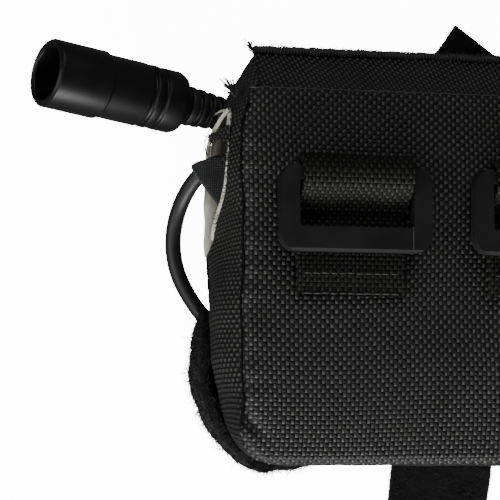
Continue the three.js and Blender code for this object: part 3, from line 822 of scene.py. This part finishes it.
def stitch_lines(x):
    """The keeper's rows of stitches, each an arch of thread."""
    lines = []
    a = np.linspace(0, pi, 7)
    for row_y, row_drop in STITCH_ROWS:
        for k in range(STITCHES):
            start = x - 8.8 + k * STITCH_PITCH + RNG.uniform(-0.08, 0.08)
            y = row_y + RNG.uniform(-0.05, 0.05)
            lines.append(xyz(start + STITCH_LENGTH * a / pi, y, STITCH_Z - row_drop + 0.22 * np.sin(a) - 0.06))
    return lines


for side, x in BUCKLES:
    band(f"keeper_{side}", keeper_path(), 20.7, 1.3, lambda a, y, z, x=x: xyz(a + x, y, z),
         depth=0.27, node=f"front_keeper_{side}", look=WEBBING)
    tubes(f"keeper_thread_{side}", stitch_lines(x), 0.14, 6, node=f"keeper_stitch_{side}",
          look=("black", THREAD[1]))


def assign(kind, *names):
    for name in names:
        data = NODES[name].data
        data.materials.clear()
        data.materials.append(kind)


def rounded_node(name, width):
    """Rounds a CAD node's sharp edges."""
    node = NODES[name]
    bevel = node.modifiers.new("soft_edges", "BEVEL")
    bevel.width = width
    bevel.segments = 3
    bevel.limit_method = "ANGLE"
    bevel.angle_limit = radians(30)
    bevel.harden_normals = True
    node.data.polygons.foreach_set("use_smooth", np.ones(len(node.data.polygons), bool))


# Buckles, with a fine step where each bar meets its right post, drawn as a lighter thread whose colour is a
# painted highlight
assign(ACETAL, "buckle_left", "buckle_right")
for side, x in BUCKLES:
    rounded_node(f"buckle_{side}", 0.0002)
    step = resample([(x + 10.5, 4.3, 32.06), (x + 10.5, 6.2, 32.1), (x + 10.5, 8.4, 32.06)], 0.3)[0]
    tubes(f"buckle_step_highlight_{side}", [step], 0.085, 6, body=f"buckle_{side}", look=STEP_HIGHLIGHT)

# Straps: loop tape with standing fibres
assign(PILE[1], "loop_tape", "hook_tape", "strap_left_anchor")
TABLE_Z = 0.02 - LIFT


def fibres(name, triangles, length, density, radius=0.03, lean=0.6):
    """Short standing fibres on a surface given as triangles, their normals and their areas."""
    points, normals, area = triangles
    rng = np.random.default_rng(5)
    count = int(area.sum() * density)
    pick = rng.choice(len(area), count, p=area / area.sum())
    r1, r2 = np.sqrt(rng.random(count))[:, None], rng.random(count)[:, None]
    tri = points[pick]
    root = (1 - r1) * tri[:, 0] + r1 * (1 - r2) * tri[:, 1] + r1 * r2 * tri[:, 2]
    way = directions(normals[pick] + lean * rng.normal(size=(count, 3)))
    across = radius * directions(np.cross(way, rng.normal(size=(count, 3))))
    tall = length * rng.uniform(0.4, 1.2, count)[:, None]
    bend = lean * 0.4 * tall * rng.normal(size=(count, 3))
    mid, tip = root + way * tall * 0.55, root + way * tall + bend
    corners = np.stack([root - across, root + across, mid + across * 0.8, mid - across * 0.8, tip], 1)
    corners[..., 2] = np.maximum(corners[..., 2], TABLE_Z)
    base = np.arange(count)[:, None] * 5
    faces = [base + (0, 1, 2, 3), base + (3, 2, 4)]
    return add_mesh(name, corners, faces, PILE, smooth=False)


def surface_triangles(piece, keep=None):
    """The triangles of a piece's mesh in source millimetres, with their normals and areas."""
    mesh = piece.data
    mesh.calc_loop_triangles()
    places = np.array([vertex.co[:] for vertex in mesh.vertices]) * 1000 - (0, 0, LIFT)
    p = places[np.array([triangle.vertices[:] for triangle in mesh.loop_triangles])]
    n = np.cross(p[:, 1] - p[:, 0], p[:, 2] - p[:, 0])
    area = np.linalg.norm(n, axis=1) / 2
    n /= np.maximum(area[:, None] * 2, 1e-12)
    chosen = keep(p.mean(1), n) if keep else slice(None)
    return p[chosen], n[chosen], area[chosen]


# Left strap: it stands on its edge round the pouch's lower left corner, lower at both ends
LEFT_PATH = [(-37.9, -6.6), (-39.0, -10.5), (-39.6, -15.8), (-39.6, -18.8), (-38.5, -22.6), (-36.3, -27.2),
             (-33.2, -30.7), (-29.2, -33.9), (-25.6, -34.7), (-17.3, -33.4)]
LEFT_INNER = [(-31.6, -8.5), (-31.4, -13.4), (-30, -22.6), (-24, -27), (-17.3, -27)]
STRAP_HEIGHT = ((0, 0.12, 0.4, 0.62, 0.8, 1), (0.45, 0.8, 0.8, 0.58, 0.42, 0.16))
STRAP_FOOT = -3.5
BLOCK_STEP = 0.5
LUMPS = 0.22


def soft_block(name, path, thick, tall, **rest):
    """An upright band along a plan path, its edges rounded and its faces a little lumpy."""
    line, at, normal = along_path(path, BLOCK_STEP, 3)
    r = thick / 2
    z_steps = np.linspace(r, tall - r, max(int(tall / BLOCK_STEP), 3))
    turn = np.linspace(0, pi, 7)[1:-1]
    section = [(r, z) for z in z_steps] + [(r * cos(a), tall - r + r * sin(a)) for a in turn]
    section += [(-r, z) for z in z_steps[::-1]] + [(-r * cos(a), r - r * sin(a)) for a in turn]
    section = np.array(section)
    size = len(section)
    share = np.interp(np.linspace(0, 1, len(line)), *STRAP_HEIGHT)
    side, z = section[:, 0], section[:, 1] * share[:, None] + STRAP_FOOT
    along = at[:, None] + 0 * z
    lump = LUMPS * waves(along, z * 1.5, 7.0, 3) + 0.5 * LUMPS * waves(along, z, 2.2, 4)
    off = side + lump * np.where(np.abs(side) > r * 0.3, np.sign(side), 0)
    flat = line[:, None] + normal[:, None] * off[..., None]
    points = xyz(flat[..., 0], flat[..., 1], np.maximum(z, STRAP_FOOT)).reshape(-1, 3)
    middle = [points[:size].mean(0), points[-size:].mean(0)]
    count, n = len(points), np.arange(size)
    m, last = (n + 1) % size, count - size
    faces = [ring_faces(len(line), size)[:, ::-1], xyz(n, m, count), xyz(last + m, last + n, count + 1)]
    return add_mesh(name, np.concatenate([points, middle]), faces, **rest)


left_strap = soft_block("strap_side", LEFT_PATH, 2.0, 11.0, node="strap_left", look=PILE)
fibres("strap_side_pile", surface_triangles(left_strap), 1.7, 22, radius=0.085, lean=0.9)


def slab(name, edge_a, edge_b, low, high, cells, lumps=0.1, wave=6.0, pitch=None, **rest):
    """A thin closed piece between two plan edges; low and high give its faces' heights at (x, y)."""
    rows, columns = cells
    share = np.linspace(0, 1, rows + 1)
    w = np.linspace(0, 1, columns + 1)
    a, b = (resample(edge, 0.2)[0] for edge in (edge_a, edge_b))
    a, b = (columns_at(edge, share, np.linspace(0, 1, len(edge))) for edge in (a, b))
    plan = a[:, None] * (1 - w[None, :, None]) + b[:, None] * w[None, :, None]
    x, y = plan[..., 0], plan[..., 1]
    top, bottom = high(x, y), low(x, y)
    edge = np.minimum(np.minimum(w, 1 - w)[None, :] * columns, np.minimum(share, 1 - share)[:, None] * rows)
    pinch = unit(1 - edge) * 0.42
    mid, half = (top + bottom) / 2, (top - bottom) / 2 * (1 - pinch * 2)
    lift = lumps * waves(x, y, wave, 4)
    points = np.concatenate([xyz(x, y, z + lift).reshape(-1, 3) for z in (mid + half, mid - half)])
    index = np.arange(x.size).reshape(x.shape)
    quads = quads_of(index)
    rim = np.concatenate([index[0, :-1], index[:-1, -1], index[-1, :0:-1], index[:0:-1, 0]])
    after = np.roll(rim, -1)
    faces = [quads, quads[:, ::-1] + x.size, np.stack([rim + x.size, after + x.size, after, rim], -1)]
    yarn = points * (1, 1, 0) / pitch if pitch else None
    return add_mesh(name, points, faces, yarn=yarn, **rest)


left_flange = slab("strap_side_foot", LEFT_PATH, LEFT_INNER, lambda x, y: 0 * x - 3.5, lambda x, y: 0 * x - 2.2,
                   (90, 14), look=PILE)

# Right strap from under the lower end, and its end above the ridge; both run along +X before they are turned
RIGHT_TURN = radians(-4.6)
RIGHT_PATH = [(-72, -2.75), (-44, -2.75), (-37, -1.95), (-33, -1.15), (34, -1.1)]
END_TURN = radians(-35)
END_PATH = [(-26, -2.8), (-13, -2.8), (0, -2.8)]


def turned(x, y, z, angle, shift):
    return xyz(x * cos(angle) - y * sin(angle) + shift[0], x * sin(angle) + y * cos(angle) + shift[1], z)


right_strap = band("strap_lower", RIGHT_PATH, 20, 1.4, lambda a, y, z: turned(a, y, z, RIGHT_TURN, (12.1, 0)),
                   ripple=0.05, depth=0.12, node="strap_right", look=PILE)
end_strap = band("strap_upper", END_PATH, 20, 1.3, lambda a, y, z: turned(a + 10, y, z, END_TURN, (13.0, 51.3)),
                 ripple=0.03, depth=0.12, node="strap_right_end", look=PILE)


def outside_pouch(mid, normal):
    """The faces of a strap that stick out from under the pouch."""
    return ((mid[:, 1] < -30) | (mid[:, 1] > 36)) & (normal[:, 2] > -0.3)


for strap, name in ((right_strap, "strap_lower_pile"), (end_strap, "strap_upper_pile")):
    fibres(name, surface_triangles(strap, outside_pouch), 0.5, 20, radius=0.045)
fibres("strap_foot_pile", surface_triangles(left_flange, lambda mid, normal: mid[:, 0] < -30), 0.5, 14)

# Keepers on the back
BACK_PATH = [(-12, -0.85), (-4.4, -0.85), (-1.9, -3.02), (25.7, -3.02), (28.2, -0.85), (33, -0.85)]
for level, y0 in (("lower", -20), ("upper", 0)):
    band(f"back_loop_{level}", BACK_PATH, 11, 1.0, lambda a, x, z, y0=y0: xyz(x, a + y0, z), depth=0.1,
         ripple=0.02, node=f"back_keeper_{level}", look=WEBBING)

# Tab in the slit: a folded tape whose fold sticks out
TAB_TOP = [(-43.3, 20.8), (-42.4, 21.6), (-38.6, 22.4), (-35.4, 22.6)]
TAB_LOW = [(-43.3, 20.4), (-42.0, 17.6), (-38.9, 12.9), (-37.4, 13.0), (-35.4, 14.2)]
TAB_HALF = 0.65


def tab_height(x, y):
    return 11.9 + 0.35 * (x + 40) + 0.5 * np.sin((y - 12) * 0.45) - 0.5 * np.exp(-((x + 43) / 1.2) ** 2)


slab("tab_cloth", TAB_TOP, TAB_LOW, lambda x, y: tab_height(x, y) - TAB_HALF,
     lambda x, y: tab_height(x, y) + TAB_HALF, (44, 36), lumps=0.12, wave=3.0, pitch=0.32,
     node="slit_tab", look=TAPE)

# Lining: a pale edge that curls out along the slit and runs in behind it
SLIT_MIDDLE = np.array((17.0, 6.0))
# Rows across the curl: how far in, extra depth, and fall towards the slit's middle
CURL = ((-1, 0, 0.55), (-0.75, 0, 0.3), (-0.35, 0, 0.1), (0.05, 0, 0.12),
        (0.6, 0.25, 0.3), (1.4, 0.1, 0.2), (2.2, -0.6, -0.4), (2.6, -1.6, -1.4))
LEAD_HOLE_Y, LEAD_HOLE_Z, LEAD_HOLE = 20.8, 7.3, 2.3


def slit_lip(y, z):
    """Points of the left wall along the slit."""
    s = y + 21 + BOTTOM_HALF + CORNER_ARC
    return left_surface(s[None, :], np.maximum(z, slit_edge(y))[None, :])[0]


def pale_edge():
    rim, _ = resample(SLIT_LINE[2:], 0.35)
    y, z = rim.T
    lip = slit_lip(y, z)
    lip[:, 2] = np.minimum(z, lip[:, 2])
    inward = directions(SLIT_MIDDLE - rim)
    flare = 0.22 + 0.3 * unit((18.5 - y) / 4) * unit((y - 4.5) / 3) + 0.5 * unit((y - 26) / 2)
    rows = []
    for w, depth, fall in CURL:
        x = lip[:, 0] + np.where(w < 0, w * flare, w)
        rows.append(xyz(x, y + inward[:, 0] * (fall + depth), lip[:, 2] + inward[:, 1] * (fall + depth)))
    grid = np.stack(rows)
    grid += 0.06 * waves(grid[..., 1], grid[..., 0] * 3, 2.5, 41)[..., None]
    faces, _ = grid_faces(*grid.shape[:2])
    return add_mesh("slit_edge", grid, [faces], node="slit_lining", look=PALE)


def thicken(piece, thickness, offset=-1.0):
    """Gives a sheet its thickness with a modifier."""
    skin = piece.modifiers.new("thick", "SOLIDIFY")
    skin.thickness = thickness
    skin.offset = offset


def painted_shade_lining():
    """Pale by the slit's back edge and darker upwards, as painted shade where the cloth shades it."""
    material, tree, shader = shader_for("painted_shade_lining", 0.8, specular=0.15)
    add, subtract, times = sums(tree)
    place = object_coords(tree)
    above = add_node(tree, "SeparateXYZ", {0: place}).outputs[2]
    # painted shade: the colour darkens with height above the slit's back edge
    height = times(subtract(above, 0.0045), 80.0)
    tone = add(height, times(noise(tree, place, 700.0, 3.0), 0.25))
    stops = [(0.1, (0.5, 0.49, 0.43)), (0.42, (0.16, 0.155, 0.125)), (0.8, (0.012, 0.012, 0.011))]
    connect(tree, shader, {"Base Color": ramp(tree, tone, stops)})
    return material


def lining_patch():
    """The lining seen through the slit, behind its edge, with a hole for the lead; its colour darkens upwards as
    painted shade.
    """
    y, z = np.meshgrid(np.linspace(4.6, 31.2, 110), np.linspace(0.6, 20, 80), indexing="ij")
    x = -37.0 - 1.3 * ((20 - z) / 18) ** 2 + 0.2 * waves(y, z, 5, 51)
    mid_y, mid_z = (y[1:, 1:] + y[:-1, :-1]) / 2, (z[1:, 1:] + z[:-1, :-1]) / 2
    hole = np.hypot(mid_y - LEAD_HOLE_Y, mid_z - LEAD_HOLE_Z) < LEAD_HOLE
    past = mid_z < 0.6 + 0.9 * np.clip(mid_y - 22, 0, None)
    faces, used = grid_faces(*y.shape, ~hole & ~past)
    return add_mesh("lining_patch", xyz(x, y, z).reshape(-1, 3)[used], [faces], ("lining", painted_shade_lining()))


thicken(pale_edge(), 0.00022, 0.0)
thicken(lining_patch(), 0.0003)
ARCH = [(-37.9, 30.6, 16.6), (-38.5, 29.7, 15.0), (-38.9, 28.3, 12.2), (-39.0, 27.0, 9.0), (-39.0, 25.5, 6.2),
        (-38.9, 23.7, 4.6), (-38.8, 22.2, 4.5)]
tubes("lining_roll", [resample(ARCH, 0.15)[0]], 0.4, 10, look=PALE)


def torn_corner():
    """A loose corner of the gusset's cloth that hangs over the rolled lining; returns its free edge."""
    s, t = np.meshgrid(np.linspace(0, 1, 30), np.linspace(0, 1, 22), indexing="ij")
    root = xyz(-38.75, 24.0 + 3.4 * t, 19.6)
    tip = xyz(-39.75, 25.7 + 0.9 * t, 12.4)
    points = root * (1 - s[..., None]) + tip * s[..., None]
    points[..., 0] += -0.25 * np.sin(s * 2.6) + 0.1 * waves(s * 7, t * 3, 2.4, 61)
    faces, _ = grid_faces(*s.shape)
    add_mesh("torn_corner", points, [faces], look=CLOTH, yarn=xyz(s * 9, t * 4, 0))
    return points[-1]


def frays(name, roots, ways, length, radius=0.06, right=inf):
    """Loose thread ends that leave their roots in those directions and bend back left of that x."""
    rng = np.random.default_rng(9)
    lines = []
    t = np.linspace(0, 1, 6)[:, None]
    for root, way in zip(roots, np.broadcast_to(ways, roots.shape)):
        way = directions(way + rng.normal(scale=0.45, size=3))
        curl = rng.normal(scale=0.5, size=3)
        line = root + way * t * length * rng.uniform(0.4, 1.2) + curl * t ** 2 * length * 0.5
        line[:, 0] -= 1.6 * np.maximum(line[:, 0] - right, 0)
        lines.append(line)
    tubes(name, lines, radius, 5, look=FRAY)


def scattered(place, spread, count):
    return np.array(place) + RNG.normal(scale=spread, size=(count, 3))


# Frayed yarns along the slit, at its torn corner, and at the ridge and its left end
torn_edge = torn_corner()
LOOSE_YARN = [(-39.9, 26.1, 6.8), (-39.8, 25, 6.2), (-39.6, 24, 6.0), (-39.3, 23.2, 6.2)]
rim_y = RNG.uniform(9.0, 28.4, 120)
frays("slit_frays", slit_lip(rim_y, slit_edge(rim_y)), xyz(-0.7, (rim_y - 17) * 0.08, -0.6), 0.8)
frays("torn_frays", torn_edge.repeat(3, axis=0), (-0.5, -0.4, -0.8), 1.3, radius=0.07)
tubes("loose_yarn", [resample(LOOSE_YARN, 0.2)[0]], 0.13, 5, look=FRAY)
frays("edge_spike", scattered((-37.0, 33.3, 18.0), 0.3, 26), (-1.3, 1.6, -0.6), 2.6, radius=0.13)
frays("corner_frays", scattered((-32.5, RIDGE_Y + 0.35, RIDGE_Z + 0.1), 0.2, 60), (-0.6, 0.9, 0.4), 1.15,
      radius=0.09, right=-32.6)
ridge_x = RNG.uniform(-31.5, 31.5, 160)
frays("ridge_frays", xyz(ridge_x, RIDGE_Y + 0.9, RIDGE_Z + 0.6), (0.2, 0.8, 0.6), 0.45)

# Hem: a fold line with its thread
hem_x = np.arange(-36.2, 36.2, 0.4)
hem_line = xyz(hem_x, HEM_Y - 0.05 + 0.06 * np.sin(hem_x * 2.2), front_level(hem_x, HEM_Y + 0 * hem_x) - 0.35)
tubes("hem_line", [hem_line], 0.16, 6, look=HEM)

# Seam between the front and the sides, a dark thread whose colour is painted shade in the crease
seam_y = np.arange(-27.2, 31.5, 0.4)
for side, way in (("left", -1), ("right", 1)):
    seam_x = way * (half_width(seam_y) - crease_in(seam_y) - 0.02)
    seam_z = front_level(seam_x, seam_y) - 0.95 + 0.06 * np.sin(seam_y * 2.2)
    tubes(f"seam_{side}", [xyz(seam_x, seam_y, seam_z)], 0.24, 6, look=SEAM_SHADE)

# What is inside: look, colour, roughness, metallic, nodes
INSIDE = (
    ("can_metal", (0.5, 0.5, 0.48), 0.35, 1, "cell_lower", "cell_middle", "cell_upper"),
    ("strip_metal", (0.55, 0.54, 0.5), 0.3, 1, "nickel_strip_left", "nickel_strip_right", "connector_contact"),
    ("pin_metal", (0.6, 0.5, 0.28), 0.28, 1, "connector_pin"),
    ("cell_wrap", (0.03, 0.16, 0.26), 0.4, 0, "cell_wrap_lower", "cell_wrap_middle", "cell_wrap_upper"),
    ("pack_sleeve", (0.012, 0.045, 0.17), 0.35, 0, "shrink_sleeve"),
    ("barley_paper", (0.66, 0.62, 0.5), 0.85, 0, "end_insulator_left", "end_insulator_right", "board_cover"),
    ("circuit_board", (0.012, 0.1, 0.035), 0.5, 0, "protection_board"),
    ("chip_black", (0.006, 0.006, 0.0065), 0.45, 0, "board_mosfet", "board_controller", "connector_insert"),
    ("wire_red", (0.33, 0.015, 0.012), 0.5, 0, "wire_positive"),
    ("wire_black", (0.008, 0.008, 0.008), 0.5, 0, "wire_negative"),
    ("seal_black", (0.006, 0.006, 0.006), 0.5, 0, "seal_ring", "lead_grommet"),
    ("inner_liner", (0.6, 0.58, 0.52), 0.8, 0, "back_liner"),
)
for kind, color, roughness, metallic, *names in INSIDE:
    assign(moulded_material(kind, color, roughness, scale=1800.0, spread=0.1, metallic=metallic), *names)
assign(FOAM, "foam_back", "foam_front")
for name in ("foam_back", "foam_front"):
    rounded_node(name, 0.0006)

# Floor and light
FLOOR_HALF = 3
FLOOR_Z = -0.0002
FLOOR_GLOW = 13.0
WORLD_LIGHT = 0.12
# Name, place, aim, size, power
LIGHTS = (
    ("low_light", (-0.06, -0.42, 0.13), (0, -0.01, 0.02), (0.42, 0.2), 5.6),
    ("head_light", (0.05, 0.75, 0.75), (0, 0, 0.02), (0.7, 0.7), 4.2),
    ("left_light", (-0.8, -0.1, 0.4), (0, 0, 0.02), (0.7, 0.7), 6.0),
)


def add_light(name, place, aim, size, power):
    data = bpy.data.lights.new(name, "AREA")
    data.shape = "RECTANGLE"
    data.size, data.size_y = size
    data.energy = power
    lamp = place_object(name, data)
    lamp.location = place
    lamp.rotation_euler = (Vector(aim) - Vector(place)).to_track_quat("-Z", "Y").to_euler()
    lamp.visible_camera = False


def add_floor():
    material, tree, shader = shader_for("floor", 0.9, (0.9, 0.9, 0.9))
    connect(tree, shader, {"Emission Color": (1, 1, 1, 1), "Emission Strength": FLOOR_GLOW})
    mesh = bpy.data.meshes.new("floor")
    corners = [(x * FLOOR_HALF, y * FLOOR_HALF, FLOOR_Z) for x, y in ((-1, -1), (1, -1), (1, 1), (-1, 1))]
    mesh.from_pydata(corners, [], [(0, 1, 2, 3)])
    mesh.materials.append(material)
    ground = place_object("floor", mesh)
    ground.visible_diffuse = False
    ground.visible_glossy = False


add_floor()
for light in LIGHTS:
    add_light(*light)
world = bpy.data.worlds.new("studio")
bpy.context.scene.world = world
world.use_nodes = True
connect(world.node_tree, world.node_tree.nodes["Background"], {"Color": (1, 1, 1, 1), "Strength": WORLD_LIGHT})
